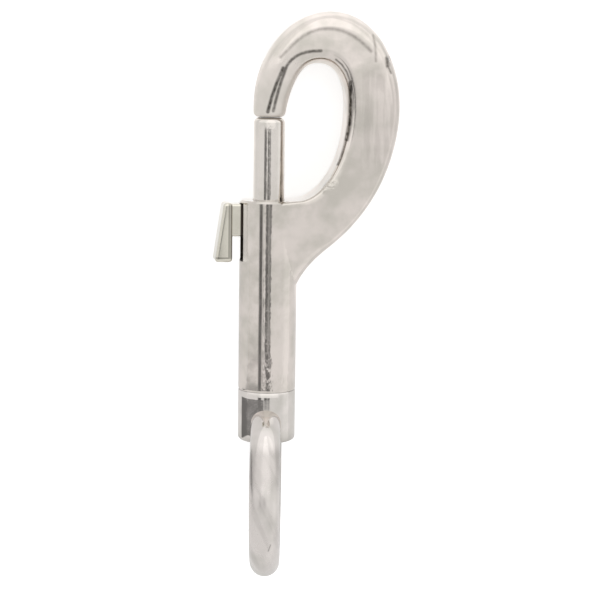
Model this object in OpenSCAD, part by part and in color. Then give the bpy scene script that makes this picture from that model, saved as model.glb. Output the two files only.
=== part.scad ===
// Swivel snap hook with a spring bolt, lying on its back on a table.
// Each piece is drawn upright: Z runs up the barrel to the crown, Z = 0 is the barrel's mouth,
// +X points to the hook arm and -Y is the front. lay_down() then lays the whole hook on its back.

/* [Barrel] */
// Outer diameter of the barrel
barrel_d = 10; // [9:0.1:12]
// Length of the barrel from its mouth to its lower rim
barrel_l = 33.05; // [32:0.05:45]
// Bevel round the mouth
mouth_bevel = 0.35; // [0.1:0.05:0.4]
// Bevel round the lower rim
rim_bevel = 0.3; // [0.1:0.05:0.6]
// Diameter of the socket that takes the shank of the eye
socket_d = 7; // [6.4:0.1:7.8]
// Depth of that socket from the lower rim
socket_l = 8.3; // [6:0.1:10]
// Height of the lip that is rolled into the groove of the shank
lip_h = 1.1; // [0.8:0.05:1.5]
// Distance from the lower rim to the middle of the lip
lip_from_rim = 3.5; // [2.5:0.1:4.5]
// How far the lip stands in from the socket wall
lip_reach = 0.55; // [0.3:0.05:0.7]

/* [Slot] */
// Width of the slot for the trigger
slot_w = 3.8; // [3.6:0.1:5]
// Length of the slot
slot_l = 10; // [9:0.1:13]
// Metal left between the mouth and the slot
slot_from_mouth = 0.5; // [0.5:0.1:3]
// Corner radius of the slot
slot_corner_r = 0.5; // [0.2:0.1:1]

/* [Hook arm] */
// Height of the hook tip above the mouth
tip_z = 14.3; // [12:0.1:18]
// Diameter of the hook at its tip
tip_d = 5.5; // [4.8:0.1:6.5]
// Rounding of the edge of the tip
tip_edge_r = 0.8; // [0.3:0.1:1.2]
// Height of the throat from the mouth to the underside of the crown
throat_h = 23.45; // [22:0.05:30]
// Distance of that highest place from the bolt's axis
throat_top_x = 8.3; // [7.5:0.1:9.5]
// Distance from the bolt's axis to the inner side of the arm at its widest
throat_w = 13.1; // [11.5:0.05:17]
// Height of that widest place above the mouth
throat_wide_z = 16; // [15:0.1:18.5]
// Distance from the bolt's axis at which the throat's floor starts to rise
throat_floor_x = 4.5; // [4:0.1:5.5]
// Width of the crown
crown_w = 8.9; // [7.5:0.05:10]
// How much further from the bolt's axis the crown is highest than the throat
crown_lead = 2.2; // [1:0.1:3]
// Width of the arm at its widest place
arm_w = 9.6; // [8:0.05:11]
// Half of the thickness of the crown and arm
arm_half_t = 3.5; // [3:0.1:4.2]
// Distance from the bolt's axis to where the arm's outer edge turns into the web's hollow edge
web_x = 11.3; // [10:0.1:12.5]
// Depth of that place below the mouth
web_drop = 7.5; // [6.5:0.1:9]
// Length of the web along the barrel
web_l = 18.6; // [16:0.1:21]
// Distance from the bolt's axis over which the web thins from the barrel to the arm
web_fade = 15; // [12:0.5:18]

/* [Bolt] */
// Diameter of the bolt
bolt_d = 5.4; // [4.6:0.1:5.8]
// How far the bolt reaches down inside the barrel
bolt_depth = 12; // [11.5:0.1:14]
// Rounding of the bolt's top edge
bolt_edge_r = 0.9; // [0.3:0.1:1.4]
// Bevel of the bolt's lower edge
bolt_foot_bevel = 0.3; // [0.1:0.1:0.6]

/* [Thumb trigger] */
// Width of the thumb tab from front to back
tab_w = 5; // [4:0.1:7]
// Height of the thumb tab
tab_h = 10.2; // [8:0.1:12]
// Thickness of the tab at its top
tab_top_t = 1.5; // [1.3:0.1:2.2]
// Thickness of the tab at its foot
tab_foot_t = 3; // [2:0.05:4]
// Air between the tab and the barrel
tab_gap = 1.5; // [1:0.1:3]
// Rounding of the tab's edges
tab_edge_r = 0.6; // [0.3:0.05:0.65]
// How far the top of the tab stands above the stem
tab_rise = 0.25; // [0:0.05:0.5]
// Height of the stem through the slot
stem_h = 5.6; // [4.5:0.1:6]
// Thickness of the stem
stem_t = 3; // [2.6:0.1:3.2]
// Corner radius of the stem
stem_corner_r = 0.4; // [0.1:0.1:0.8]
// Air between the end of the stem and the bolt
stem_clear = 0.15; // [0.1:0.05:0.3]
// Diameter of the pin that is pressed into the bolt
pin_d = 2.2; // [1.6:0.1:2.6]
// How far the pin goes past the bolt's axis
pin_past_axis = 1.2; // [0.6:0.1:1.6]

/* [Spring] */
// Thickness of the spring wire
wire_d = 0.5; // [0.4:0.05:0.6]
// Mean diameter of the coil
coil_d = 4.3; // [3.9:0.1:4.4]
// Turns that are open
open_turns = 7; // [5:1:9]

/* [Swivel eye] */
// Length of the collar under the barrel
collar_l = 8.85; // [7:0.05:11]
// Rounding of the collar's lower edge
collar_edge_r = 0.7; // [0.3:0.1:1.2]
// Bevel round the top of the shank
shank_bevel = 0.3; // [0.1:0.1:0.6]
// Diameter of the wire of the eye
eye_wire_d = 5.2; // [4.8:0.1:6.2]
// Inside diameter of the eye
eye_inside_d = 20.8; // [17:0.1:24]
// How far the top of the eye sinks into the collar
eye_sink = 6.8; // [5:0.1:8]
// Angle from the hook's plane to the plane of the eye
eye_turn = 81; // [75:1:105]

/* [Fits] */
// Radial play of the bolt in its bore
bolt_play = 0.08; // [0.05:0.01:0.1]
// Radial play of the shank in its socket
shank_play = 0.08; // [0.05:0.01:0.1]
// Play between the rolled lip and the groove
groove_play = 0.2; // [0.15:0.05:0.3]
// Air between the tip of the hook and the bolt at rest
tip_gap = 0.1; // [0.05:0.05:0.3]
// Air between the barrel's rim and the collar
collar_gap = 0.12; // [0.1:0.02:0.3]
// Air between the stem and either end of the slot
stop_gap = 0.1; // [0.1:0.05:0.3]
// Air between the spring and what it bears on
spring_gap = 0.05; // [0.02:0.01:0.1]

/* [Hidden] */
$fn = 96;
overlap = 1;

barrel_r = barrel_d / 2;
bolt_r = bolt_d / 2;
bore_r = bolt_r + bolt_play;
socket_r = socket_d / 2;
socket_top_z = socket_l - barrel_l;
lip_z = lip_from_rim - barrel_l;
shank_r = socket_r - shank_play;
shank_top_z = socket_top_z - collar_gap;
groove_r = socket_r - lip_reach - groove_play;
groove_h = lip_h + 2 * groove_play;
stem_top_z = -slot_from_mouth - stop_gap;
pin_z = stem_top_z - stem_h / 2;
tab_top_z = stem_top_z + tab_rise;
tab_inner_x = -barrel_r - tab_gap;
collar_top_z = -barrel_l - collar_gap;
collar_foot_z = collar_top_z - collar_l;
eye_r = (eye_inside_d + eye_wire_d) / 2;
eye_wire_r = eye_wire_d / 2;
eye_z = collar_foot_z + eye_sink - eye_r - eye_wire_r;

// How the hook lies: the rim of the eye props up one end and the crown rests at the other.
eye_low = eye_r * sin(eye_turn) + eye_wire_r;
crown_round = 2.9;
crown_top_z = throat_h + crown_w;
lie_tilt = asin((eye_low - arm_half_t) / (crown_top_z - crown_round - eye_z));
lift = eye_low + eye_z * sin(lie_tilt);
mid_x = (throat_w + arm_w + tab_inner_x - tab_foot_t) / 2;
mid_y = (crown_top_z + (eye_z - eye_r - eye_wire_r)) / 2 * cos(lie_tilt);

// Curves of the hook arm. A bend is a smooth curve from p to q with a heading at each end, and it
// holds each heading for a share of the distance between them.
function heading(a) = [cos(a), sin(a)];
function bend(p, a, share_p, q, b, share_q) =
    let (l = norm(q - p)) [p, p + share_p * l * heading(a), q - share_q * l * heading(b), q];
function on_bend(c, t) =
    pow(1 - t, 3) * c[0] + 3 * pow(1 - t, 2) * t * c[1] + 3 * (1 - t) * t * t * c[2] + t * t * t * c[3];
function mix(a, b, t) = a + (b - a) * t;
function ease(t) = t * t * (3 - 2 * t);

// Inner edge from the tip over the throat and down to its floor, and outer edge beside it
limb_z = tip_z + tip_edge_r;
throat_top = [throat_top_x, throat_h];
throat_wide = [throat_w, throat_wide_z];
throat_floor = [throat_floor_x, 0.1];
crown_top = [throat_top_x + crown_lead, throat_h + crown_w];
arm_side = [throat_w + arm_w, throat_wide_z];
web_turn = [web_x, -web_drop];
web_heading = -141;
limb_inner_heading = 79;
limb_outer_heading = 92;
// The web's faces stay this far under the barrel's skin, and its foot ends this deep in the wall.
skin = 0.25;
foot_sink = 1.2;
web_foot = [barrel_r - foot_sink, -web_l - foot_sink];
inner_limb = bend([tip_d / 2, limb_z], limb_inner_heading, 0.4, throat_top, 0, 0.36);
outer_limb = bend([-tip_d / 2, limb_z], limb_outer_heading, 0.45, crown_top, 0, 0.34);
inner_crown = bend(throat_top, 0, 0.32, throat_wide, -90, 0.54);
outer_crown = bend(crown_top, 0, 0.4, arm_side, -90, 0.36);
inner_arm = bend(throat_wide, -90, 0.6, throat_floor, 180, 0.2);
outer_arm = bend(arm_side, -90, 0.24, web_turn, web_heading, 0.44);
outer_web = bend(web_turn, web_heading, 0.22, web_foot, -90, 0.48);

// A section is [inner point, outer point, half thickness, inner corner, outer corner, share of web].
// A corner is [how far it reaches across the arm, how far it reaches towards the middle plane].
round_tip = [tip_d / 2, tip_d / 2];
crown_in = [2.1, arm_half_t];
crown_out = [crown_round, arm_half_t];
arm_in = [1, 2];
arm_out = [2.3, arm_half_t];
web_in = [0.5, 0.6];
web_out = [1.7, 2.6];

function tip_sections(steps) = [
    for (i = [0 : steps - 1])
        let (a = 90 * i / steps, r = tip_d / 2 - tip_edge_r * (1 - sin(a)), z = tip_z + tip_edge_r * (1 - cos(a)))
            [[r, z], [-r, z], r, [r, r], [r, r], 0]
];
// lag above 1 lets the inner edge of a tight bend start slowly, so that sections stay square to the arm.
function swept(inner, outer, lag, t0, t1, in0, in1, out0, out1, web0, web1, steps) = [
    for (i = [0 : steps - 1])
        let (t = i / steps, e = ease(t))
            [
                on_bend(inner, pow(t, lag)), on_bend(outer, t), mix(t0, t1, e),
                mix(in0, in1, e), mix(out0, out1, e), mix(web0, web1, e)
            ]
];
// The web runs into the barrel, level with its mouth above and curving in below. Its outer corner
// grows to the barrel's own round there, and it ends inside the barrel's wall.
function web_sections(steps) = [
    for (i = [0 : steps])
        let (t = i / steps, inner = mix(throat_floor, [0, -skin], t), outer = on_bend(outer_web, t))
            [
                inner, outer, arm_half_t, web_in,
                mix(web_out, [norm(outer - inner), barrel_r - foot_sink], ease(t)), 1
            ]
];
sections = concat(
    tip_sections(5),
    swept(inner_limb, outer_limb, 0.8, tip_d / 2, arm_half_t, round_tip, crown_in, round_tip, crown_out, 0, 0, 16),
    swept(inner_crown, outer_crown, 1, arm_half_t, arm_half_t, crown_in, arm_in, crown_out, arm_out, 0, 0, 14),
    swept(inner_arm, outer_arm, 1.45, arm_half_t, arm_half_t, arm_in, web_in, arm_out, web_out, 0, 1, 18),
    web_sections(12)
);

// Half thickness of the web at a distance x from the bolt's axis
function web_half_t(x) = arm_half_t + (barrel_r - skin - arm_half_t) * (1 + cos(180 * min(1, max(0, x) / web_fade))) / 2;

// Outline of one section: s runs from the inner to the outer edge, h away from the middle plane.
corner_steps = 7;
corner_share = 0.98;
function half_outline(w, inner, outer) = [
    for (i = [0 : corner_steps])
        let (a = 90 * i / corner_steps) [inner[0] * (1 - cos(a)), inner[1] * (1 - sin(a))],
    for (i = [0 : corner_steps])
        let (a = 90 * i / corner_steps) [w - outer[0] * (1 - sin(a)), outer[1] * (1 - cos(a))]
];
function ring(s) =
    let (
        w = norm(s[1] - s[0]),
        across = (s[1] - s[0]) / w,
        half = half_outline(w, corner_share * s[3], corner_share * s[4]),
        front = [
            for (p = half)
                let (q = s[0] + across * p[0], t = mix(s[2], web_half_t(q[0]), s[5])) [q[0], p[1] - t, q[1]]
        ]
    )
    concat(front, [for (i = [len(front) - 1 : -1 : 0]) [front[i][0], -front[i][1], front[i][2]]]);

// Closed skin over a row of rings that all have the same number of points
module loft(rings) {
    n = len(rings[0]);
    last = len(rings) - 1;
    polyhedron(
        points = [for (r = rings) for (p = r) p],
        faces = concat(
            [[for (j = [n - 1 : -1 : 0]) j]],
            [
                for (i = [0 : last - 1])
                    for (j = [0 : n - 1])
                        let (k = (j + 1) % n)
                            for (f = [
                                [i * n + j, (i + 1) * n + k, (i + 1) * n + j],
                                [i * n + j, i * n + k, (i + 1) * n + k]
                            ])
                                f
            ],
            [[for (j = [0 : n - 1]) last * n + j]]
        )
    );
}

module lay_down() {
    translate([-mid_x, -mid_y, lift])
        rotate([-90 - lie_tilt, 0, 0])
            children();
}

// What a rounding of radius r takes off a corner, with its centre at the origin
module outside_corner(r) {
    difference() {
        square(r + overlap);
        circle(r);
    }
}

// Bar with a w by h section, rounded corners, and its length along X from x0 to x1
module rounded_bar(x0, x1, w, z0, z1, r) {
    translate([x0, 0, 0])
        rotate([90, 0, 90])
            linear_extrude(x1 - x0) {
                translate([-w / 2 + r, z0]) square([w - 2 * r, z1 - z0]);
                translate([-w / 2, z0 + r]) square([w, z1 - z0 - 2 * r]);
                for (y = [-w / 2 + r, w / 2 - r])
                    for (z = [z0 + r, z1 - r])
                        translate([y, z]) circle(r, $fn = 32);
            }
}

// The seam of the round is turned away from the web and the slot.
seam_turn = 230;
module barrel_skin() {
    rotate(seam_turn) rotate_extrude()
        polygon([
            [0, 0],
            [barrel_r - mouth_bevel, 0],
            [barrel_r, -mouth_bevel],
            [barrel_r, -barrel_l + rim_bevel],
            [barrel_r - rim_bevel, -barrel_l],
            [0, -barrel_l]
        ]);
}

// The socket's wall has a lip rolled inwards, which holds the shank in its groove.
module socket() {
    lip_r = socket_r - lip_reach;
    rotate_extrude()
        polygon([
            [0, socket_top_z],
            [socket_r, socket_top_z],
            [socket_r, lip_z + lip_h / 2],
            [lip_r, lip_z + lip_h / 4],
            [lip_r, lip_z - lip_h / 4],
            [socket_r, lip_z - lip_h / 2],
            [socket_r, -barrel_l - overlap],
            [0, -barrel_l - overlap]
        ]);
}

// One casting: barrel, web, arm, crown and tip
module hook_body() {
    color("gainsboro")
        lay_down()
            difference() {
                union() {
                    barrel_skin();
                    loft([for (s = sections) ring(s)]);
                }
                translate([0, 0, socket_top_z - overlap])
                    cylinder(r = bore_r, h = overlap * 3 - socket_top_z);
                socket();
                rounded_bar(
                    -barrel_r - overlap, 0, slot_w,
                    -slot_from_mouth - slot_l, -slot_from_mouth, slot_corner_r
                );
            }
}

module bolt() {
    top_z = tip_z - tip_gap;
    color("silver")
        lay_down()
            difference() {
                rotate_extrude()
                    difference() {
                        polygon([
                            [0, top_z],
                            [bolt_r, top_z],
                            [bolt_r, -bolt_depth + bolt_foot_bevel],
                            [bolt_r - bolt_foot_bevel, -bolt_depth],
                            [0, -bolt_depth]
                        ]);
                        translate([bolt_r - bolt_edge_r, top_z - bolt_edge_r])
                            outside_corner(bolt_edge_r);
                    }
                translate([-bolt_r - overlap, 0, pin_z])
                    rotate([0, 90, 0])
                        cylinder(d = pin_d, h = bolt_r + overlap + pin_past_axis);
            }
}

// Thumb tab, stem and pin in one piece. The pin is pressed into the bolt once the stem is through the slot.
module thumb_trigger() {
    tab_foot_z = tab_top_z - tab_h;
    stem_in_x = -bolt_r - stem_clear;
    color("silver")
        lay_down() {
            hull()
                for (y = [-1, 1])
                    for (at = [[tab_top_z, tab_top_t, -1], [tab_foot_z, tab_foot_t, 1]])
                        for (x = [tab_inner_x - tab_edge_r, tab_inner_x - at[1] + tab_edge_r])
                            translate([x, y * (tab_w / 2 - tab_edge_r), at[0] + at[2] * tab_edge_r])
                                sphere(tab_edge_r, $fn = 24);
            rounded_bar(
                tab_inner_x - tab_top_t / 2, stem_in_x, stem_t,
                stem_top_z - stem_h, stem_top_z, stem_corner_r
            );
            translate([stem_in_x - overlap, 0, pin_z])
                rotate([0, 90, 0])
                    cylinder(d = pin_d, h = overlap - stem_in_x + pin_past_axis - stop_gap);
        }
}

// Compression spring with a closed turn at each end
function coil_rise(turn, open_pitch) =
    wire_d * min(turn, 1)
    + open_pitch * max(0, min(turn - 1, open_turns))
    + wire_d * max(0, turn - 1 - open_turns);
module spring() {
    top_z = -bolt_depth - spring_gap;
    foot_z = shank_top_z + spring_gap;
    open_pitch = (top_z - foot_z - 3 * wire_d) / open_turns;
    per_turn = 16;
    sides = 6;
    color("lightgrey")
        lay_down()
            loft([
                for (i = [0 : per_turn * (open_turns + 2)])
                    let (turn = i / per_turn, a = 360 * turn)
                        [
                            for (j = [0 : sides - 1])
                                let (
                                    b = 360 * j / sides,
                                    r = coil_d / 2 + wire_d / 2 * cos(b),
                                    z = foot_z + wire_d / 2 + coil_rise(turn, open_pitch) + wire_d / 2 * sin(b)
                                )
                                    [r * cos(a), r * sin(a), z]
                        ]
            ]);
}

// One casting: grooved shank, collar and eye
module swivel_eye() {
    color("gainsboro")
        lay_down() {
            rotate_extrude() {
                polygon([
                    [0, shank_top_z],
                    [shank_r - shank_bevel, shank_top_z],
                    [shank_r, shank_top_z - shank_bevel],
                    [shank_r, lip_z + groove_h / 2],
                    [groove_r, lip_z + groove_h / 4],
                    [groove_r, lip_z - groove_h / 4],
                    [shank_r, lip_z - groove_h / 2],
                    [shank_r, collar_top_z],
                    [barrel_r - rim_bevel, collar_top_z],
                    [barrel_r, collar_top_z - rim_bevel],
                    [barrel_r, collar_foot_z + collar_edge_r],
                    [0, collar_foot_z + collar_edge_r]
                ]);
                translate([0, collar_foot_z])
                    square([barrel_r - collar_edge_r, collar_edge_r + overlap]);
                translate([barrel_r - collar_edge_r, collar_foot_z + collar_edge_r])
                    circle(collar_edge_r);
            }
            translate([0, 0, eye_z])
                rotate([90, 0, eye_turn])
                    rotate_extrude()
                        translate([eye_r, 0]) circle(eye_wire_r);
        }
}

hook_body();
bolt();
thumb_trigger();
spring();
swivel_eye();
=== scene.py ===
"""Looks of a swivel snap hook that lies on its back: plated castings, a turned bolt and a white floor."""

from math import asin, cos, hypot, pi, radians, sin

import bmesh
import bpy
from mathutils import Matrix, Vector


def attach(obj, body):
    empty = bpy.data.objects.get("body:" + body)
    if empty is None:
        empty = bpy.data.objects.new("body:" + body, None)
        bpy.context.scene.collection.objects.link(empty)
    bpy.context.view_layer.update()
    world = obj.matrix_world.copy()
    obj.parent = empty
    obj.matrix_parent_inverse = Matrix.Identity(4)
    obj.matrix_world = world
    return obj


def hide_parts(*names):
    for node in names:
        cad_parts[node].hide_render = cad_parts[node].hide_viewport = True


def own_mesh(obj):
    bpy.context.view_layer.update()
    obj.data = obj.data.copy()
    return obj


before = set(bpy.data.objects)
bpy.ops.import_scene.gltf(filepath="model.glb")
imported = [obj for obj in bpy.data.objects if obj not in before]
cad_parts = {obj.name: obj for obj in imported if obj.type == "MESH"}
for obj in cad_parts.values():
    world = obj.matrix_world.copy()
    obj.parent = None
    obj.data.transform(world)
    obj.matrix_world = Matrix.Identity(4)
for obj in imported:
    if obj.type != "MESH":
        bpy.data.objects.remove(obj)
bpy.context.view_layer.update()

# Sizes in millimetres, upright: z runs up the barrel and z = 0 is its mouth,
# +x points to the arm and -y is the front

# Barrel with its mouth, rim, bore and socket
BARREL_R = 5.0
BARREL_L = 33.05
MOUTH_BEVEL = 0.35
RIM_BEVEL_R = 0.12
RIM_BEVEL_H = 0.3
RIM_LEVEL_H = 0.06
BORE_R = 2.78
SOCKET_R = 3.5
SOCKET_L = 8.3
LIP_RISE = 3.5
LIP_Z = LIP_RISE - BARREL_L
LIP_H = 1.1
LIP_REACH = 0.55

# Slot for the thumb trigger
SLOT_W = 3.8
SLOT_L = 10.0
SLOT_TOP = -0.5
SLOT_FOOT = SLOT_TOP - SLOT_L
SLOT_CORNER = 0.5

# Tip, throat, crown, arm and web
TIP_Z = 14.3
TIP_R = 2.75
TIP_EDGE = 0.8
THROAT_H = 23.45
THROAT_W = 13.1
THROAT_WIDE_Z = 16.0
CROWN_W = 8.9
CROWN_ROUND = 2.9
ARM_W = 9.6
ARM_HALF_T = 3.5
WEB_L = 18.6
WEB_FADE = 15.0
SKIN = 0.25
FOOT_SINK = 1.2

# Bolt
BOLT_R = 2.7
BOLT_GAP = 0.1
BOLT_TOP = TIP_Z - BOLT_GAP
BOLT_FOOT = -12.0
BOLT_EDGE = 0.9
BOLT_BEVEL = 0.3

# Trigger: stem, pin and thumb tab
STEM_GAP = 0.1
STEM_TOP = SLOT_TOP - STEM_GAP
STEM_H = 5.6
STEM_W = 3.0
STEM_CORNER = 0.4
STEM_END = -2.85
PIN_R = 1.1
PIN_Z = STEM_TOP - STEM_H / 2
PIN_PAST = 1.2
PIN_FIT = 0.995
TAB_RISE = 0.25
TAB_TOP = STEM_TOP + TAB_RISE
TAB_H = 10.2
TAB_W = 5.0
TAB_TOP_T = 1.5
TAB_FOOT_T = 3.0
TAB_INNER = -6.5
TAB_EDGE = 0.6
TAB_BEVEL = TAB_EDGE * 0.9

# Shank and collar of the eye
SHANK_R = 3.42
SHANK_GAP = 0.12
SHANK_TOP = SOCKET_L - BARREL_L - SHANK_GAP
SHANK_BEVEL = 0.3
COLLAR_L = 8.85
COLLAR_GAP = 0.04
COLLAR_TOP = -BARREL_L - COLLAR_GAP
COLLAR_FOOT = -BARREL_L - SHANK_GAP - COLLAR_L
COLLAR_BEVEL_R = 0.08
COLLAR_BEVEL_H = 0.16
COLLAR_EDGE = 0.7
GROOVE_R = 2.75
GROOVE_H = 1.5

# Spring
COIL_R = 2.15
WIRE_R = 0.25
OPEN_TURNS = 7
SPRING_GAP = 0.05
SPRING_TOP = BOLT_FOOT - SPRING_GAP
SPRING_FOOT = SHANK_TOP + SPRING_GAP

# Round eye, turned out of the hook's plane by EYE_TURN degrees
EYE_WIRE = 2.6
EYE_HOLE_R = 10.4
EYE_SINK = 6.8
EYE_R = EYE_HOLE_R + EYE_WIRE
EYE_Z = COLLAR_FOOT + EYE_SINK - EYE_R - EYE_WIRE
EYE_TURN = 81.0
EYE_LOW = EYE_R * sin(radians(EYE_TURN)) + EYE_WIRE

# How the hook lies: it rests on the back of the crown and on the eye
CROWN_Z = THROAT_H + CROWN_W
TILT = asin((EYE_LOW - ARM_HALF_T) / (CROWN_Z - CROWN_ROUND - EYE_Z))
LIFT = EYE_LOW + EYE_Z * sin(TILT)
MID_X = (THROAT_W + ARM_W + TAB_INNER - TAB_FOOT_T) / 2
MID_Y = (CROWN_Z + EYE_Z - EYE_R - EYE_WIRE) / 2 * cos(TILT)

# Distances up to which points of a mesh are one, in raw solids and in finished pieces
RAW_WELD = 1e-5
WELD = 1e-4

LAID = Matrix.Translation((-MID_X, -MID_Y, LIFT)) @ Matrix.Rotation(-pi / 2 - TILT, 4, "X")
TO_FRAME = Matrix.Scale(0.001, 4) @ LAID


# Curves and solids


def heading(a):
    """Unit vector at an angle in degrees."""
    return Vector((cos(radians(a)), sin(radians(a))))


def bend(p, a, share_p, q, b, share_q):
    """Smooth curve from p to q that holds a heading at each end for a share of the distance."""
    p, q = Vector(p), Vector(q)
    reach = (q - p).length
    return [p, p + share_p * reach * heading(a), q - share_q * reach * heading(b), q]


def on_bend(c, t):
    """Point of a bend at t from 0 to 1."""
    u = 1 - t
    return u**3 * c[0] + 3 * u * u * t * c[1] + 3 * u * t * t * c[2] + t**3 * c[3]


def curve_points(c, steps):
    """Points along a bend as plain pairs."""
    return [tuple(on_bend(c, i / steps)) for i in range(steps + 1)]


def mix(a, b, t):
    return a + (b - a) * t


def mix_all(a, b, t):
    return [mix(x, y, t) for x, y in zip(a, b)]


def ease(t):
    return t * t * (3 - 2 * t)


# Inner and outer edge of the arm in (x, z): each bend ends where the next one starts
LIMB_Z = TIP_Z + TIP_EDGE
THROAT_TOP = (8.3, THROAT_H)
THROAT_WIDE = (THROAT_W, THROAT_WIDE_Z)
THROAT_FLOOR = (4.5, 0.1)
CROWN_TOP = (10.5, CROWN_Z)
ARM_SIDE = (THROAT_W + ARM_W, THROAT_WIDE_Z)
WEB_TURN = (11.3, -7.5)
WEB_FOOT = (BARREL_R - FOOT_SINK, -WEB_L - FOOT_SINK)
INNER_LIMB = bend((TIP_R, LIMB_Z), 79, 0.4, THROAT_TOP, 0, 0.36)
OUTER_LIMB = bend((-TIP_R, LIMB_Z), 92, 0.45, CROWN_TOP, 0, 0.34)
INNER_CROWN = bend(THROAT_TOP, 0, 0.32, THROAT_WIDE, -90, 0.54)
OUTER_CROWN = bend(CROWN_TOP, 0, 0.4, ARM_SIDE, -90, 0.36)
INNER_ARM = bend(THROAT_WIDE, -90, 0.6, THROAT_FLOOR, 180, 0.2)
OUTER_ARM = bend(ARM_SIDE, -90, 0.24, WEB_TURN, -141, 0.44)
OUTER_WEB = bend(WEB_TURN, -141, 0.22, WEB_FOOT, -90, 0.48)

# Corners of the arm's section, (across, deep), inside and outside: tip, crown, widest throat, throat's floor
ARM_CORNERS = (
    ((2.75, 2.75), (2.75, 2.75)),
    ((2.1, 3.5), (2.9, 3.5)),
    ((1.3, 2.2), (2.3, 3.5)),
    ((0.5, 0.6), (1.7, 2.6)),
)

# Share of each corner that the ring of a section uses, so that opposite corners never touch
CORNER_SHARE = 0.985

# How much faster than the rest of the limb its thickness grows
THICKENING = 2.4

TIP_STEPS = 12
WEB_STEPS = 40

# Lines of painted dark reflections on the body and the tab, and a short dark line on the ring, in (x, z),
# seen from the front
THROAT_RIGHT = (
    (10.81, 24.19),
    (11.85, 23.36),
    (12.74, 22.1),
    (13.37, 20.42),
    (13.55, 18.22),
    (13.58, 15.67),
    (13.41, 13.12),
    (12.93, 10.56),
    (12.11, 7.65),
    (11.5, 6.3),
)
THROAT_OVER = curve_points(bend((1.5, 21.4), 66, 0.4, (8.2, 25.62), 0, 0.5), 8)
LIMB_LINES = (
    curve_points(bend((-0.68, 15.23), 78, 0.33, (1.76, 22.66), 66, 0.33), 3),
    curve_points(bend((0.27, 15.4), 78, 0.33, (2.29, 22.83), 68, 0.33), 3),
)
CROWN_LINE = curve_points(bend((1.36, 24.5), 47, 0.36, (9.4, 29.38), 0, 0.4), 7)
CROWN_LINE += curve_points(bend((9.4, 29.38), 0, 0.36, (16.83, 25.69), -46, 0.36), 7)[1:]
CROWN_MARK = ((17.31, 28.3), (17.6, 26.21), (17.73, 24.0))
CROWN_DENT_REFLECTION = ((19.74, 24.46), (19.87, 23.19), (20.45, 22.01))
RING_SHORT_LINE = ((-0.99, -57.48), (-1.3, -58.69))
TAB_LINES = (
    (((-7.09, -0.67), (-7.09, -9.81)), 0.14, 0.12),
    (((-6.8, -0.67), (-6.8, -9.81)), 0.12, 0.1),
    (((-7.09, -9.81), (-9.3, -9.81)), 0.12, 0.12),
)


def arm_sections():
    """Each section: inner point, outer point, inner corner, outer corner, half thickness, share of web."""
    sections = []
    for i in range(TIP_STEPS):
        a = radians(90 * i / TIP_STEPS)
        r = TIP_R - TIP_EDGE * (1 - sin(a))
        z = TIP_Z + TIP_EDGE * (1 - cos(a))
        sections.append((Vector((r, z)), Vector((-r, z)), (r, r), (r, r), r, 0))
    spans = (
        (INNER_LIMB, OUTER_LIMB, 0.8, TIP_R, 0, 70),
        (INNER_CROWN, OUTER_CROWN, 1, ARM_HALF_T, 0, 60),
        (INNER_ARM, OUTER_ARM, 1.45, ARM_HALF_T, 1, 80),
    )
    for (inner, outer, lag, half_t, web, steps), before, after in zip(spans, ARM_CORNERS, ARM_CORNERS[1:]):
        for i in range(steps):
            t = i / steps
            e = ease(t)
            sections.append(
                (
                    on_bend(inner, t**lag),
                    on_bend(outer, t),
                    mix_all(before[0], after[0], e),
                    mix_all(before[1], after[1], e),
                    mix(half_t, ARM_HALF_T, ease(min(1, t * THICKENING))),
                    mix(0, web, e),
                )
            )
    for i in range(WEB_STEPS + 1):
        t = i / WEB_STEPS
        inner = mix(Vector(THROAT_FLOOR), Vector((0, -SKIN)), t)
        outer = on_bend(OUTER_WEB, t)
        last_corner = ((outer - inner).length, BARREL_R - FOOT_SINK)
        in_corner, out_corner = ARM_CORNERS[-1]
        sections.append((inner, outer, in_corner, mix_all(out_corner, last_corner, ease(t)), ARM_HALF_T, 1))
    return sections


def web_half_t(x):
    """Half thickness of the web, which swells towards the barrel."""
    fade = min(1, max(0, x) / WEB_FADE)
    return ARM_HALF_T + (BARREL_R - SKIN - ARM_HALF_T) * (1 + cos(pi * fade)) / 2


def arm_ring(section, corner_steps=12, flat_steps=8):
    """Closed ring of points round one section of the arm."""
    inner, outer, in_corner, out_corner, half_t, web = section
    width = (outer - inner).length
    across = (outer - inner) / width
    ci = [CORNER_SHARE * v for v in in_corner]
    co = [CORNER_SHARE * v for v in out_corner]
    half = []
    for i in range(corner_steps + 1):
        a = pi / 2 * i / corner_steps
        half.append((ci[0] * (1 - cos(a)), ci[1] * (1 - sin(a))))
    for i in range(1, flat_steps):
        half.append((mix(ci[0], width - co[0], i / flat_steps), 0))
    for i in range(corner_steps + 1):
        a = pi / 2 * i / corner_steps
        half.append((width - co[0] * (1 - sin(a)), co[1] * (1 - cos(a))))
    front = []
    for s, h in half:
        q = inner + across * s
        t = mix(half_t, web_half_t(q.x), web)
        front.append(Vector((q.x, h - t, q.y)))
    return front + [Vector((p.x, -p.y, p.z)) for p in reversed(front)]


def solid(name, points, faces):
    """Mesh object from points in upright millimetres."""
    mesh = bpy.data.meshes.new(name)
    mesh.from_pydata([tuple(p) for p in points], [], faces)
    mesh.update()
    made = bpy.data.objects.new(name, mesh)
    bpy.context.scene.collection.objects.link(made)
    work = bmesh.new()
    work.from_mesh(mesh)
    bmesh.ops.remove_doubles(work, verts=work.verts, dist=RAW_WELD)
    bmesh.ops.recalc_face_normals(work, faces=work.faces)
    work.to_mesh(mesh)
    work.free()
    return made


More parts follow.
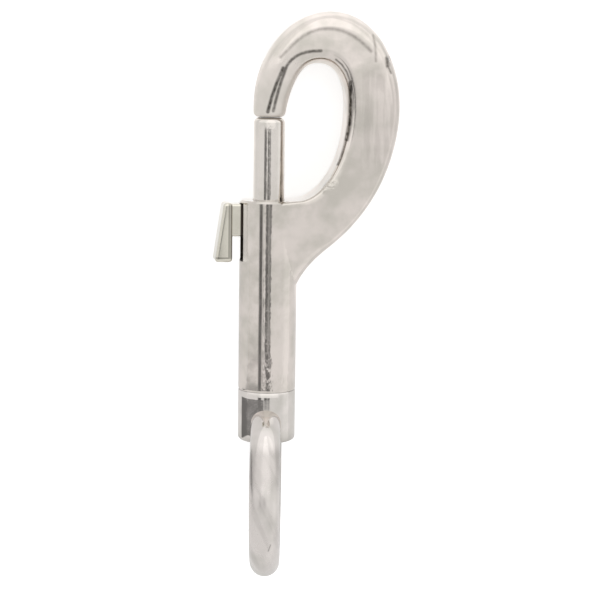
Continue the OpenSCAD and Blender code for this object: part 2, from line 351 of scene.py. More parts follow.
def loft(name, rings):
    """Solid through rings of equal point counts, closed at both ends."""
    n = len(rings[0])
    last = len(rings) - 1
    points = [p for ring in rings for p in ring]
    faces = [list(range(n))[::-1], [last * n + j for j in range(n)]]
    for i in range(last):
        for j in range(n):
            k = (j + 1) % n
            faces.append([i * n + j, i * n + k, (i + 1) * n + k, (i + 1) * n + j])
    return solid(name, points, faces)


def lathe(name, outline, steps, turn):
    """Solid of revolution about z. The outline runs from axis to axis as (radius, height)."""
    points = []
    for r, z in outline:
        for j in range(steps):
            a = 2 * pi * j / steps + turn
            points.append((r * cos(a), r * sin(a), z))
    faces = []
    for i in range(len(outline) - 1):
        for j in range(steps):
            k = (j + 1) % steps
            faces.append([i * steps + j, i * steps + k, (i + 1) * steps + k, (i + 1) * steps + j])
    return solid(name, points, faces)


def filled(outline, reach):
    """Outline with extra points, so that no stretch is longer than reach."""
    out = [outline[0]]
    for a, b in zip(outline, outline[1:]):
        count = max(1, int(hypot(b[0] - a[0], b[1] - a[1]) / reach + 0.5))
        for i in range(1, count + 1):
            out.append((mix(a[0], b[0], i / count), mix(a[1], b[1], i / count)))
    return out


def rounding(cx, cz, r, a0, a1, steps=8):
    """Arc of an outline between two angles in degrees."""
    angles = [radians(mix(a0, a1, i / steps)) for i in range(steps + 1)]
    return [(cx + r * cos(a), cz + r * sin(a)) for a in angles]


def pin_ring(x, r, sides=40):
    """Circle round the axis of the pin, which runs along x."""
    angles = [2 * pi * j / sides for j in range(sides)]
    return [Vector((x, r * cos(a), PIN_Z + r * sin(a))) for a in angles]


def bar(name, x0, x1, width, z0, z1, corner):
    """Bar along x with rounded corners in its section."""
    section = []
    for cy, cz, a0 in (
        (width / 2 - corner, z1 - corner, 0),
        (-width / 2 + corner, z1 - corner, 90),
        (-width / 2 + corner, z0 + corner, 180),
        (width / 2 - corner, z0 + corner, 270),
    ):
        section += rounding(cy, cz, corner, a0, a0 + 90)
    return loft(name, [[Vector((x, y, z)) for y, z in section] for x in (x0, x1)])


def joined(target, other, how):
    """Boolean of two solids; the second one is used up."""
    change = target.modifiers.new("join", "BOOLEAN")
    change.operation = how
    change.solver = "EXACT"
    change.object = other
    dg = bpy.context.evaluated_depsgraph_get()
    mesh = bpy.data.meshes.new_from_object(target.evaluated_get(dg))
    target.modifiers.clear()
    old = target.data
    target.data = mesh
    bpy.data.meshes.remove(old)
    bpy.data.objects.remove(other)
    return target


def lay(made, crease=28.0):
    """Lays a finished piece in the row frame and smooths it up to the crease angle."""
    work = bmesh.new()
    work.from_mesh(made.data)
    bmesh.ops.remove_doubles(work, verts=work.verts, dist=WELD)
    bmesh.ops.dissolve_degenerate(work, edges=work.edges, dist=WELD)
    bmesh.ops.triangulate(work, faces=[f for f in work.faces if len(f.verts) > 4])
    for face in work.faces:
        face.smooth = True
    for edge in work.edges:
        edge.smooth = len(edge.link_faces) == 2 and edge.calc_face_angle(0) < radians(crease)
    work.transform(TO_FRAME)
    work.to_mesh(made.data)
    work.free()
    even = made.modifiers.new("even_faces", "WEIGHTED_NORMAL")
    even.keep_sharp = True
    dg = bpy.context.evaluated_depsgraph_get()
    mesh = bpy.data.meshes.new_from_object(made.evaluated_get(dg))
    made.modifiers.clear()
    old = made.data
    made.data = mesh
    bpy.data.meshes.remove(old)
    return made


# Pieces. The lathes start at odd angles, so that their edges don't meet those of the solids joined to them


def make_hook_body():
    """Casting of barrel, web, arm and tip, hollowed for the bolt, the eye's shank and the trigger."""
    rim = -BARREL_L + RIM_BEVEL_H
    outline = [
        (0, 0),
        (BARREL_R - MOUTH_BEVEL, 0),
        (BARREL_R, -MOUTH_BEVEL),
        (BARREL_R, rim + RIM_LEVEL_H),
        (BARREL_R, rim),
        (BARREL_R - RIM_BEVEL_R, -BARREL_L),
        (0, -BARREL_L),
    ]
    body = lathe("hook_body_casting", filled(outline, reach=1.3), steps=180, turn=radians(230.7))
    arm = loft("hook_arm_skin", [arm_ring(s) for s in arm_sections()])
    joined(body, arm, "UNION")
    lip_r = SOCKET_R - LIP_REACH
    over, under = 2, 1
    hollow_outline = [
        (0, over),
        (BORE_R, over),
        (BORE_R, SOCKET_L - BARREL_L),
        (SOCKET_R, SOCKET_L - BARREL_L),
        (SOCKET_R, LIP_Z + LIP_H / 2),
        (lip_r, LIP_Z + LIP_H / 4),
        (lip_r, LIP_Z - LIP_H / 4),
        (SOCKET_R, LIP_Z - LIP_H / 2),
        (SOCKET_R, -BARREL_L - under),
        (0, -BARREL_L - under),
    ]
    joined(body, lathe("hollow", hollow_outline, steps=120, turn=radians(1.3)), "DIFFERENCE")
    slot = bar("slot", -BARREL_R - under, 0, SLOT_W, SLOT_FOOT, SLOT_TOP, SLOT_CORNER)
    joined(body, slot, "DIFFERENCE")
    return lay(body)


def make_bolt():
    """Turned rod with a rounded head and a blind hole for the pin."""
    outline = (
        [(0, BOLT_TOP)]
        + rounding(BOLT_R - BOLT_EDGE, BOLT_TOP - BOLT_EDGE, BOLT_EDGE, 90, 0)
        + [(BOLT_R, BOLT_FOOT + BOLT_BEVEL), (BOLT_R - BOLT_BEVEL, BOLT_FOOT), (0, BOLT_FOOT)]
    )
    bolt = lathe("sliding_bolt", filled(outline, reach=1.5), steps=120, turn=radians(3))
    hole = loft("pin_hole", [pin_ring(-BOLT_R - 1, PIN_R), pin_ring(PIN_PAST, PIN_R)])
    return lay(joined(bolt, hole, "DIFFERENCE"))


def make_trigger():
    """Thumb tab with bevelled edges, its stem through the slot, and the pin."""
    foot = TAB_TOP - TAB_H
    tab = solid(
        "thumb_trigger_tab",
        [
            (x, y, z)
            for z, t in ((TAB_TOP, TAB_TOP_T), (foot, TAB_FOOT_T))
            for x in (TAB_INNER, TAB_INNER - t)
            for y in (-TAB_W / 2, TAB_W / 2)
        ],
        [(0, 1, 3, 2), (4, 6, 7, 5), (0, 4, 5, 1), (2, 3, 7, 6), (0, 2, 6, 4), (1, 5, 7, 3)],
    )
    work = bmesh.new()
    work.from_mesh(tab.data)
    bmesh.ops.bevel(work, geom=list(work.edges), offset=TAB_BEVEL, segments=5, profile=0.5, affect="EDGES")
    bmesh.ops.recalc_face_normals(work, faces=work.faces)
    work.to_mesh(tab.data)
    work.free()
    stem = bar("stem", TAB_INNER - TAB_TOP_T / 2, STEM_END, STEM_W, STEM_TOP - STEM_H, STEM_TOP, STEM_CORNER)
    joined(tab, stem, "UNION")
    fitting_r = PIN_FIT * PIN_R
    pin = loft("pin", [pin_ring(STEM_END - 1, fitting_r), pin_ring(PIN_PAST - 0.1, fitting_r)])
    return lay(joined(tab, pin, "UNION"))


def make_spring():
    """Compression spring with a closed turn at each end."""
    closed_pitch = 2 * WIRE_R
    open_pitch = (SPRING_TOP - SPRING_FOOT - 3 * closed_pitch) / OPEN_TURNS
    per_turn = 48
    sides = 16
    rings = []
    for i in range(per_turn * (OPEN_TURNS + 2) + 1):
        turn = i / per_turn
        closed = min(turn, 1) + max(0, turn - 1 - OPEN_TURNS)
        opened = max(0, min(turn - 1, OPEN_TURNS))
        rise = closed_pitch * closed + open_pitch * opened
        ring = []
        for j in range(sides):
            b = 2 * pi * j / sides
            r = COIL_R + WIRE_R * cos(b)
            z = SPRING_FOOT + WIRE_R + rise + WIRE_R * sin(b)
            ring.append(Vector((r * cos(2 * pi * turn), r * sin(2 * pi * turn), z)))
        rings.append(ring)
    return lay(loft("return_spring", rings), crease=50)


def make_eye():
    """Casting of grooved shank, collar and round eye."""
    outline = [
        (0, SHANK_TOP),
        (SHANK_R - SHANK_BEVEL, SHANK_TOP),
        (SHANK_R, SHANK_TOP - SHANK_BEVEL),
        (SHANK_R, LIP_Z + GROOVE_H / 2),
        (GROOVE_R, LIP_Z + GROOVE_H / 4),
        (GROOVE_R, LIP_Z - GROOVE_H / 4),
        (SHANK_R, LIP_Z - GROOVE_H / 2),
        (SHANK_R, COLLAR_TOP),
        (BARREL_R - COLLAR_BEVEL_R, COLLAR_TOP),
        (BARREL_R, COLLAR_TOP - COLLAR_BEVEL_H),
    ]
    outline += rounding(BARREL_R - COLLAR_EDGE, COLLAR_FOOT + COLLAR_EDGE, COLLAR_EDGE, 0, -90)
    outline += [(0, COLLAR_FOOT)]
    collar = lathe("swivel_eye_casting", filled(outline, reach=1.0), steps=180, turn=radians(0.7))
    steps, first_step = 200, 0.37
    sides, first_side = 64, 0.21
    points = []
    faces = []
    turn = Matrix.Rotation(radians(EYE_TURN), 3, "Z")
    for i in range(steps):
        a = 2 * pi * (i + first_step) / steps
        for j in range(sides):
            b = 2 * pi * (j + first_side) / sides
            r = EYE_R + EYE_WIRE * cos(b)
            points.append(turn @ Vector((r * cos(a), EYE_WIRE * sin(b), r * sin(a))) + Vector((0, 0, EYE_Z)))
            k = (j + 1) % sides
            m = (i + 1) % steps
            faces.append([i * sides + j, i * sides + k, m * sides + k, m * sides + j])
    ring = solid("eye_ring", points, faces)
    return lay(joined(collar, ring, "UNION"))


# Node tools


class Number:
    """A socket whose value takes part in an expression."""

    def __init__(self, nodes, socket):
        self.nodes = nodes
        self.socket = socket

    def _made(self, operation, a, b=None):
        sockets = {0: a} if b is None else {0: a, 1: b}
        made = self.nodes.node("ShaderNodeMath", {"operation": operation}, sockets)
        return Number(self.nodes, made.outputs[0])

    def __add__(self, other):
        return self._made("ADD", self, other)

    def __radd__(self, other):
        return self._made("ADD", other, self)

    def __sub__(self, other):
        return self._made("SUBTRACT", self, other)

    def __rsub__(self, other):
        return self._made("SUBTRACT", other, self)

    def __mul__(self, other):
        return self._made("MULTIPLY", self, other)

    def __neg__(self):
        return self._made("MULTIPLY", self, -1.0)

    def above(self, other):
        return self._made("MAXIMUM", self, other)

    def below(self, other):
        return self._made("MINIMUM", self, other)

    def power(self, other):
        return self._made("POWER", self, other)

    def size(self):
        return self._made("ABSOLUTE", self)

    def step(self, low, high, to_low=0.0, to_high=1.0):
        """Smooth step between two values."""
        made = self.nodes.node(
            "ShaderNodeMapRange",
            {"interpolation_type": "SMOOTHSTEP"},
            {0: self, 1: low, 2: high, 3: to_low, 4: to_high},
        )
        return Number(self.nodes, made.outputs[0])

    def fall(self, low, high):
        """Smooth step down between two values."""
        return self.step(low, high, 1.0, 0.0)

    def band(self, low, high, soft):
        """1 between two values and 0 outside, with soft edges."""
        return self.step(low - soft, low + soft) * self.fall(high - soft, high + soft)


class Nodes:
    """Node tree of a material or of the world."""

    def __init__(self, tree):
        self.tree = tree
        tree.nodes.clear()

    def node(self, kind, settings=None, sockets=None):
        made = self.tree.nodes.new(kind)
        for name, value in (settings or {}).items():
            setattr(made, name, value)
        for name, value in (sockets or {}).items():
            if isinstance(value, Number):
                value = value.socket
            if isinstance(value, bpy.types.NodeSocket):
                self.tree.links.new(value, made.inputs[name])
            else:
                made.inputs[name].default_value = value
        return made

    def number(self, socket):
        return Number(self, socket)

    def noise(self, place, scale, detail=2.0, rough=0.5, twist=0.0):
        made = self.node(
            "ShaderNodeTexNoise",
            None,
            {"Vector": place, "Scale": scale, "Detail": detail, "Roughness": rough, "Distortion": twist},
        )
        return self.number(made.outputs[0])

    def stretched(self, place, scale):
        made = self.node("ShaderNodeVectorMath", {"operation": "MULTIPLY"}, {0: place, 1: scale})
        return made.outputs[0]

    def blend(self, share, a, b):
        """Mix of two colours."""
        made = self.node("ShaderNodeMix", {"data_type": "RGBA"}, {0: share, 6: a, 7: b})
        return made.outputs[2]


def upright(nodes):
    """Place on the hook in upright millimetres."""
    coords = nodes.node("ShaderNodeTexCoord")
    back = Matrix.Rotation(pi / 2 + TILT, 3, "X")
    moved = back @ Vector((-MID_X, -MID_Y, LIFT))
    made = nodes.node(
        "ShaderNodeMapping",
        None,
        {
            "Vector": coords.outputs["Object"],
            "Location": -moved,
            "Rotation": (pi / 2 + TILT, 0, 0),
            "Scale": (1000, 1000, 1000),
        },
    )
    return made.outputs[0]


def colour(r, g, b):
    """Colour from its 0 to 255 values in a picture."""
    out = []
    for v in (r, g, b):
        v /= 255
        out.append(v / 12.92 if v <= 0.04045 else ((v + 0.055) / 1.055) ** 2.4)
    return (*out, 1)


def parts_of(nodes, vector):
    """x, y and z of a vector as numbers."""
    made = nodes.node("ShaderNodeSeparateXYZ", None, {0: vector})
    return [nodes.number(s) for s in made.outputs]


def turned_by(nodes, across, back):
    """Degrees round the hook from its front, with the arm's side as positive."""
    made = nodes.node("ShaderNodeMath", {"operation": "ARCTAN2"}, {0: across, 1: -back})
    return nodes.number(made.outputs[0]) * (180 / pi)


def near(nodes, place, spot, reach, core=0.3):
    """1 in the core of a spot and 0 beyond its reach."""
    made = nodes.node("ShaderNodeVectorMath", {"operation": "DISTANCE"}, {0: place, 1: spot})
    return nodes.number(made.outputs["Value"]).fall(reach * core, reach)


def stroke(nodes, flat, points, half, soft):
    """1 along a line of (x, z) points seen from the front, with soft sides."""
    reach = None
    for a, b in zip(points, points[1:]):
        start = (a[0], 0.0, a[1])
        step = (b[0] - a[0], 0.0, b[1] - a[1])
        square = step[0] ** 2 + step[2] ** 2
        out = nodes.node("ShaderNodeVectorMath", {"operation": "SUBTRACT"}, {0: flat, 1: start})
        unit = tuple(v / square for v in step)
        along = nodes.node("ShaderNodeVectorMath", {"operation": "DOT_PRODUCT"}, {0: out.outputs[0], 1: unit})
        share = nodes.number(along.outputs["Value"]).above(0.0).below(1.0)
        sockets = {0: share, 1: step, 2: start}
        foot = nodes.node("ShaderNodeVectorMath", {"operation": "MULTIPLY_ADD"}, sockets)
        gap = nodes.node("ShaderNodeVectorMath", {"operation": "DISTANCE"}, {0: flat, 1: foot.outputs[0]})
        gap = nodes.number(gap.outputs["Value"])
        reach = gap if reach is None else reach.below(gap)
    return reach.fall(half - soft, half + soft)


def from_front(nodes, place):
    """Place with its depth left out, as stroke() needs it."""
    return nodes.stretched(place, (1, 0, 1))


# Dark tint: painted shade in the bore, the slot and the socket, and oil on the spring's wire
SHADE_AND_OIL = colour(58, 50, 45)
# Dark tint for painted dark reflections on the body and the tab, painted shade on the ring, and dull patches
# and streaks
PAINTED_DARK_AND_DULL = colour(60, 56, 50)
RUBBED = colour(234, 228, 221)

# What the dark tint of painted shade and oil, rubbing and turning marks add to the roughness
SHADE_AND_OIL_ROUGH = 0.4
RUBBED_ROUGH = 0.3
STREAK_ROUGH = 0.06

# Turning marks are this much higher than the grain
STREAK_HEIGHT = 1.5

MILLIMETRE = 0.001


def plated(name, pale, dull, gloss, wave, grain, shade_and_oil_mask, **extra):
    """Nickel plate: tint in soft clouds, uneven polish, wavy skin, fine pits, and a dark tint that is painted
    shade in the bore, slot and socket and oil on the spring.

    gloss holds the least and most roughness, and wave and grain are heights in millimetres. extra may hold
    the masks worn (added height), marked (dark lines and patches: painted reflections and painted shade, and
    dull plate), matted (rubbed plate) and glossy (taken off the roughness), and streak, the stretch of the
    noise that stands for turning marks.
    """
    material = bpy.data.materials.new(name)
    material.use_nodes = True
    nodes = Nodes(material.node_tree)
    place = upright(nodes)
    clouds = nodes.noise(place, 0.13, detail=2.0, rough=0.45, twist=0.3)
    spots = nodes.noise(place, 0.5, detail=3.0, rough=0.5)
    fine = nodes.noise(place, 5.0, detail=3.0, rough=0.6)
    tone = nodes.blend((clouds * 0.7 + spots * 0.3).step(0.36, 0.64), pale, dull)
    rough = gloss[0] + (spots * 0.6 + fine * 0.4).step(0.35, 0.7) * (gloss[1] - gloss[0])
    height = clouds * wave + spots * (wave * 0.1) + fine * grain
    if "streak" in extra:
        lines = nodes.noise(nodes.stretched(place, extra["streak"]), 1.0, 3.0, 0.7)
        rough = rough + lines * STREAK_ROUGH
        height = height + lines * (grain * STREAK_HEIGHT)
    if "worn" in extra:
        height = height + extra["worn"](nodes, place)
    # Dark tint from the mask: painted shade in hollows, and oil on the spring
    shade_and_oil = shade_and_oil_mask(nodes, place)
    tone = nodes.blend(shade_and_oil, tone, SHADE_AND_OIL)
    rough = rough + shade_and_oil * SHADE_AND_OIL_ROUGH
    metal = 1.0
    if "matted" in extra:
        matt = extra["matted"](nodes, place)
        rough = rough + matt * RUBBED_ROUGH
        metal = 1.0 - matt
        tone = nodes.blend(matt * (1.0 - shade_and_oil), tone, RUBBED)
    # Dark lines and patches: painted reflections and painted shade, and dull plate
    if "marked" in extra:
        tone = nodes.blend(extra["marked"](nodes, place), tone, PAINTED_DARK_AND_DULL)
    if "glossy" in extra:
        rough = rough - extra["glossy"](nodes, place)
    bump = nodes.node("ShaderNodeBump", None, {"Strength": 1.0, "Distance": MILLIMETRE, "Height": height})
    shader = nodes.node(
        "ShaderNodeBsdfPrincipled",
        None,
        {
            "Base Color": tone,
            "Metallic": metal,
            "Roughness": rough,
            "Normal": bump.outputs[0],
        },
    )
    nodes.node("ShaderNodeOutputMaterial", None, {"Surface": shader.outputs[0]})
    return material


def bore_and_slot_painted_shade(nodes, place):
    """Painted shade: a dark tint inside the barrel and on the walls of the slot."""
    x, y, z = parts_of(nodes, place)
    wall, past_wall = 0.02, 0.1
    rim_z = 0.3 - BARREL_L
    shoulder_z = SOCKET_L - BARREL_L
    out = (x * x + y * y).power(0.5)
    bore = out.fall(BORE_R + wall, BORE_R + past_wall) * z.fall(-0.15, -0.05)
    socket = out.fall(SOCKET_R + wall, SOCKET_R + past_wall) * z.band(rim_z, shoulder_z, 0.1)
    beside = y.size().fall(SLOT_W / 2, SLOT_W / 2 + 0.06)
    slot = beside * x.fall(-3.0, -2.6) * z.band(SLOT_FOOT, SLOT_TOP + wall, 0.03)
    return bore.above(socket).above(slot)


def stem_painted_shade(nodes, place):
    """Painted shade: a dark tint on the part of the stem that runs in the slot."""
    x = parts_of(nodes, place)[0]
    return x.step(-BARREL_R - 0.12, -BARREL_R + 0.02)


def bolt_painted_shade(nodes, place):
    """Painted shade: a dark tint on the part of the bolt that stays in the bore."""
    z = parts_of(nodes, place)[2]
    return z.fall(-1.6, -0.9)


def shank_painted_shade(nodes, place):
    """Painted shade: a dark tint on the shank inside the socket."""
    z = parts_of(nodes, place)[2]
    return z.step(COLLAR_TOP + 0.3, COLLAR_TOP + 0.6)


def spring_grime(nodes, place):
    """Patches of oil on the wire of the spring."""
    return nodes.noise(place, 0.8, 2.0, 0.5).step(0.45, 0.65) * 0.6


def mottle(nodes, place, front, left, depth):
    """Fine unevenness along the front line, where the polishing wheel pressed least."""
    x, y = parts_of(nodes, place)[:2]
    grains = nodes.noise(nodes.stretched(place, (1.8, 1.8, 1.3)), 1.0, 1.0, 0.5)
    return grains * (-y).step(front - 0.5, front) * x.step(left - 0.3, left) * depth


def bolt_wear(nodes, place):
    """Unevenness on the front of the bolt."""
    return mottle(nodes, place, BOLT_R - 0.1, -0.6, 0.02)


# Where a ring rubs in the throat, and the nicks: the spot, its reach, and how high or deep it is
SCUFF = ((9.9, -3.6, 2.8), 1.9, 0.3)
NICKS = (
    ((4.0, -2.9, 30.4), 0.45, 0.12),
    ((0.6, -2.6, 26.6), 0.40, 0.10),
    ((20.6, -2.6, 24.6), 0.9, 0.2),
    ((18.3, -3.4, 27.0), 0.6, 0.08),
)


def body_wear(nodes, place):
    """Ripples low on the barrel, a scuff where a ring rubs in the throat, and a few nicks."""
    x, y, z = parts_of(nodes, place)
    ripple = nodes.noise(nodes.stretched(place, (1.2, 0.5, 0.55)), 1.0, 2.0, 0.5)
    low = z.fall(-28.0, -25.2) * (-y).step(3.2, 4.4) * x.step(-1.2, 0.2)
    ripple_height = 0.12
    height = ripple * low * ripple_height + mottle(nodes, place, BARREL_R - 0.15, -1.2, 0.017)
    spot, reach, rise = SCUFF
    rub = nodes.noise(place, 1.8, detail=2.0, rough=0.6)
    height = height + rub * near(nodes, place, spot, reach) * rise
    for spot, reach, depth in NICKS:
        height = height - near(nodes, place, spot, reach) * depth
    return height


# Each painted dark reflection on the body, a line: its course, half its width, how soft its sides are, and
# how dark it is
PAINTED_REFLECTION_LINES = (
    (THROAT_RIGHT[:4], 0.13, 0.14, 0.8),
    (THROAT_RIGHT[3:8], 0.3, 0.2, 0.95),
    (THROAT_RIGHT[7:], 0.15, 0.2, 0.9),
    (THROAT_OVER, 0.24, 0.2, 0.85),
    (LIMB_LINES[0], 0.28, 0.18, 0.95),
    (LIMB_LINES[1], 0.26, 0.18, 0.85),
    (CROWN_DENT_REFLECTION[:2], 0.36, 0.3, 0.85),
    (CROWN_DENT_REFLECTION[1:], 0.2, 0.25, 0.8),
    (CROWN_LINE, 0.26, 0.3, 0.5),
    (CROWN_MARK, 0.18, 0.3, 0.5),
)


def painted_reflections_and_streaks(nodes, place):
    """Painted dark reflections as lines in the throat's rounding, on the limb and on the crown, and faint
    brushed streaks down the arm.
    """
    x, y, z = parts_of(nodes, place)
    flat = from_front(nodes, place)
    marks = None
    for points, half, soft, depth in PAINTED_REFLECTION_LINES:
        mark = stroke(nodes, flat, points, half, soft) * depth
        marks = mark if marks is None else marks.above(mark)
    uneven = nodes.noise(place, 1.4, detail=2.0, rough=0.6).step(0.3, 0.6, 0.7, 1.0)
    brushed = nodes.noise(nodes.stretched(place, (1.0, 0.1, 0.14)), 1.0, 2.0, 0.5).step(0.35, 0.6)
    on_arm = x.step(14.0, 16.5) * z.band(6.0, 23.0, 3.0)
    on_front = (-y).step(1.9, 2.6)
    streak_depth = 0.13
    return (marks * uneven).above(brushed * on_arm * streak_depth) * on_front


def limb_satin(nodes, place):
    """Lower gloss on the limb, which was polished across and not along."""
    x, _, z = parts_of(nodes, place)
    on_limb = z.step(TIP_Z - 0.4, TIP_Z) * z.fall(21.0, 26.5) * x.fall(4.0, 7.0)
    more_rough = 0.26
    return on_limb * -more_rough


def slot_matt(nodes, place):
    """Plate rubbed matt beside the slot, where the thumb tab passes, and in part on the limb."""
    x, y, z = parts_of(nodes, place)
    beside = x.fall(-4.4, -3.6) * z.band(SLOT_FOOT + 0.1, SLOT_TOP - 0.1, 0.2)
    beside = beside * y.size().step(SLOT_W / 2, SLOT_W / 2 + 0.1)
    limb = z.step(TIP_Z - 2, TIP_Z - 1) * z.fall(19.0, 27.0) * x.fall(3.0, 9.0)
    beside_share, limb_share = 0.9, 0.3
    return (beside * beside_share).above(limb * limb_share)


def ring_patches_and_painted_shade(nodes, place):
    """Slanting dull patches on the ring, painted shade that darkens it near its top and foot, and one short
    dark line.
    """
    x, y, z = parts_of(nodes, place)
    slant = nodes.node("ShaderNodeCombineXYZ", None, {0: x * 0.8 + z * 0.35, 1: y * 0.1, 2: z * 0.06})
    patch_depth, top_depth, foot_depth, short_line_depth = 0.09, 0.24, 0.07, 0.6
    patches = nodes.noise(slant.outputs[0], 0.9, detail=2.0, rough=0.5).step(0.42, 0.62) * patch_depth
    # Painted shade: darker near the ring's top, by the collar, and towards its foot
    top = z.band(-47.5, -41.0, 1.5) * top_depth
    foot = z.step(-54.0, -51.0, foot_depth, 0.0)
    short_line = stroke(nodes, from_front(nodes, place), RING_SHORT_LINE, 0.1, 0.1) * (-y).step(5, 8) * short_line_depth
    return (patches + top + foot).above(short_line) * z.fall(COLLAR_FOOT, COLLAR_FOOT + 2.0)


def collar_gloss(nodes, place):
    """The turned collar is smoother than the ring below it."""
    x, y, z = parts_of(nodes, place)
    out = (x * x + y * y).power(0.5)
    on_collar = z.step(COLLAR_FOOT - 0.2, COLLAR_FOOT + 0.2) * out.step(BARREL_R - 0.25, BARREL_R - 0.1)
    less_rough = 0.23
    return on_collar * less_rough


def tab_painted_reflections(nodes, place):
    """Painted reflections: dark lines along the inner and lower edges of the tab."""
    y = parts_of(nodes, place)[1]
    flat = from_front(nodes, place)
    inner, edge, foot = [stroke(nodes, flat, *line) for line in TAB_LINES]
    on_front = (-y).step(1.8, 2.0)
    depth = 0.55
    return inner.above(edge).above(foot) * on_front * depth


def painted(made, material):
    """The object with that material alone."""
    made.data.materials.clear()
    made.data.materials.append(material)
    return made


# The hook
cast_plate = plated(
    "cast_nickel_plate",
    colour(214, 206, 200),
    colour(193, 188, 180),
    (0.07, 0.15),
    0.05,
    0.0008,
    bore_and_slot_painted_shade,
    worn=body_wear,
    marked=painted_reflections_and_streaks,
    matted=slot_matt,
    glossy=limb_satin,
)
eye_plate = plated(
    "eye_nickel_plate",
    colour(214, 208, 204),
    colour(197, 193, 187),
    (0.26, 0.34),
    0.05,
    0.0008,
    shank_painted_shade,
    marked=ring_patches_and_painted_shade,
    glossy=collar_gloss,
)
bolt_plate = plated(
    "bolt_nickel_plate",
    colour(214, 208, 202),
    colour(204, 199, 192),
    (0.06, 0.12),
    0.015,
    0.0005,
    bolt_painted_shade,
    worn=bolt_wear,
    streak=(2, 2, 0.1),
)
tab_plate = plated(
    "trigger_nickel_plate",
    colour(209, 205, 193),
    colour(203, 199, 187),
    (0.1, 0.16),
    0.02,
    0.0008,
    stem_painted_shade,
    marked=tab_painted_reflections,
)
spring_plate = plated(
    "spring_wire_steel", colour(150, 148, 145), colour(120, 118, 116), (0.25, 0.4), 0.0, 0.001, spring_grime
)

hook_body = painted(make_hook_body(), cast_plate)
bolt = painted(make_bolt(), bolt_plate)
thumb_trigger = painted(make_trigger(), tab_plate)
swivel_eye = painted(make_eye(), eye_plate)
spring = painted(make_spring(), spring_plate)

for piece, node, body, slot_name in (
    (hook_body, "hook_body", "body", "cast_nickel"),
    (bolt, "bolt", "bolt", "bolt_nickel"),
    (thumb_trigger, "thumb_trigger", "bolt", "trigger_nickel"),
    (swivel_eye, "swivel_eye", "eye", "cast_nickel"),
    (spring, "spring", "body", "spring_steel"),
):
    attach(piece, body)
    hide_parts(node)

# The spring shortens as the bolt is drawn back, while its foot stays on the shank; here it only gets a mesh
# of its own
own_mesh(spring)


# Floor, light and camera. The strengths below are shares of the tent's white


def make_floor():
    """White floor. Glossy rays see a dark card on it and a brighter patch below the throat."""
    half = 3
    corners = [(-half, -half, 0), (half, -half, 0), (half, half, 0), (-half, half, 0)]
    mesh = bpy.data.meshes.new("floor")
    mesh.from_pydata(corners, [], [(0, 1, 2, 3)])
    floor = bpy.data.objects.new("floor", mesh)
    bpy.context.scene.collection.objects.link(floor)
    material = bpy.data.materials.new("white_floor")
    material.use_nodes = True
    nodes = Nodes(material.node_tree)
    path = nodes.node("ShaderNodeLightPath")
    camera = nodes.number(path.outputs["Is Camera Ray"])
    glossy = nodes.number(path.outputs["Is Glossy Ray"])
    place = upright(nodes)
    x, y, z = parts_of(nodes, place)
    collar_x, collar_y = -4.0, -2.0
    top_slope, foot_slope = 0.188, 0.245
    out = x - collar_x
    down = y - collar_y
    away = (out * out + down * down).power(0.5)
    angle = turned_by(nodes, out, down)
    card = angle.band(-127, -60, 3) * (z + away * top_slope).fall(-33.5, -32.7)
    card = card * (z + away * foot_slope).step(-43.0, -42.2) * x.fall(-12, -9)
    card_depth = 0.72
    shade = nodes.blend(card * glossy * card_depth, (0.8, 0.8, 0.8, 1), (0, 0, 0, 1))
    lit = nodes.node("ShaderNodeBsdfDiffuse", None, {"Color": shade})
    around_hook = stroke(nodes, from_front(nodes, place), ((9.0, 2.0), (9.0, 24.0)), 20, 7)
    past_crown = z.step(30, 42)
    seen, floor_share, hook_share, crown_share = 0.51, 0.2, 0.38, 0.25
    mirrored = (floor_share + around_hook * hook_share + past_crown * crown_share) * (1.0 - card)
    strength = camera * seen + glossy * mirrored
    glow = nodes.node("ShaderNodeEmission", None, {"Color": (1, 1, 1, 1), "Strength": strength})
    both = nodes.node("ShaderNodeAddShader", None, {0: lit.outputs[0], 1: glow.outputs[0]})
    nodes.node("ShaderNodeOutputMaterial", None, {"Surface": both.outputs[0]})
    painted(floor, material)


# Dark strips of the tent: from and to in degrees round the hook, how soft the sides are, and how dark it is
STRIPS = (
    (-43, -30, 3.5, 0.84),
    (-18, 4.5, 2, 0.55),
    (-18, -8, 2, 0.25),
    (-1, 4.5, 1.5, 0.2),
)


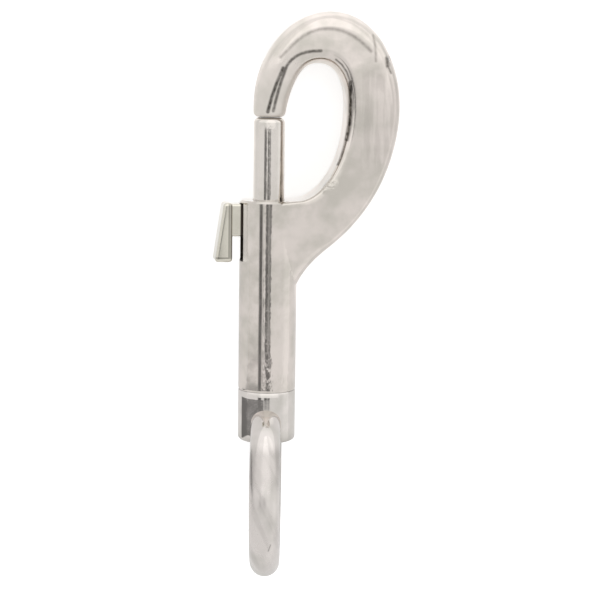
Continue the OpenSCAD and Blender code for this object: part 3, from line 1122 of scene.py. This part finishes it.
def make_world():
    """Light tent: white all round, with dark strips that run along the hook as its seams do.

    Only glossy rays see the strips, the dark card across the collar, the dim patch and the brighter windows.
    angle is the turn round the hook and along the rise towards the crown.
    """
    world = bpy.data.worlds.new("light_tent")
    bpy.context.scene.world = world
    world.use_nodes = True
    nodes = Nodes(world.node_tree)
    coords = nodes.node("ShaderNodeTexCoord")
    turned = nodes.node(
        "ShaderNodeMapping", None, {"Vector": coords.outputs["Generated"], "Rotation": (pi / 2 + TILT, 0, 0)}
    )
    across, back, along = parts_of(nodes, turned.outputs[0])
    angle = turned_by(nodes, across, back)
    strips = sum(angle.band(low, high, soft) * depth for low, high, soft, depth in STRIPS)
    strips = strips * along.step(-0.225, -0.175) * along.fall(-0.02, -0.006)
    card_depth, dim_depth, most = 0.74, 0.07, 0.92
    card = angle.band(-134, -20, 5) * along.band(-0.235, -0.187, 0.004) * card_depth
    dim = angle.band(4, 40, 4) * along.band(-0.062, -0.032, 0.012) * dim_depth
    dark = strips.above(card).above(dim).below(most)
    high_window, front_window, side_window = 0.3, 0.24, 0.14
    window = along.step(0.04, 0.3) * high_window
    window = window + angle.band(-34, 40, 6) * along.step(-0.035, 0.005) * front_window
    window = window + angle.band(62, 120, 10) * side_window
    path = nodes.node("ShaderNodeLightPath")
    glossy = nodes.number(path.outputs["Is Glossy Ray"])
    light = 1.0 + (window - dark) * glossy
    shader = nodes.node("ShaderNodeBackground", None, {"Color": (1, 1, 1, 1), "Strength": light})
    nodes.node("ShaderNodeOutputWorld", None, {"Surface": shader.outputs[0]})


def make_camera():
    """Camera over the lying hook, at the angle from which an upright one shows a little of its left side."""
    away = 320.0
    target = Vector((5.71, 0.0, -17.52))
    side, height, roll = radians(9.0), radians(8.0), radians(0.75)
    out = Vector((-sin(side) * cos(height), -cos(side) * cos(height), sin(height)))
    up = (Vector((0, 0, 1)) - out * out.z).normalized()
    right = (-out).cross(up)
    right, up = right * cos(roll) + up * sin(roll), up * cos(roll) - right * sin(roll)
    turn = LAID.to_3x3()
    rows = Matrix((turn @ right, turn @ up, turn @ out)).transposed()
    data = bpy.data.cameras.new("camera")
    data.lens = 110.04
    data.sensor_width = 36.0
    data.clip_start = 0.01
    data.clip_end = 20.0
    camera = bpy.data.objects.new("camera", data)
    bpy.context.scene.collection.objects.link(camera)
    camera.matrix_world = Matrix.Translation(TO_FRAME @ (target + out * away)) @ rows.to_4x4()
    bpy.context.scene.camera = camera


make_floor()
make_world()
make_camera()
bpy.context.scene.view_settings.view_transform = "Standard"
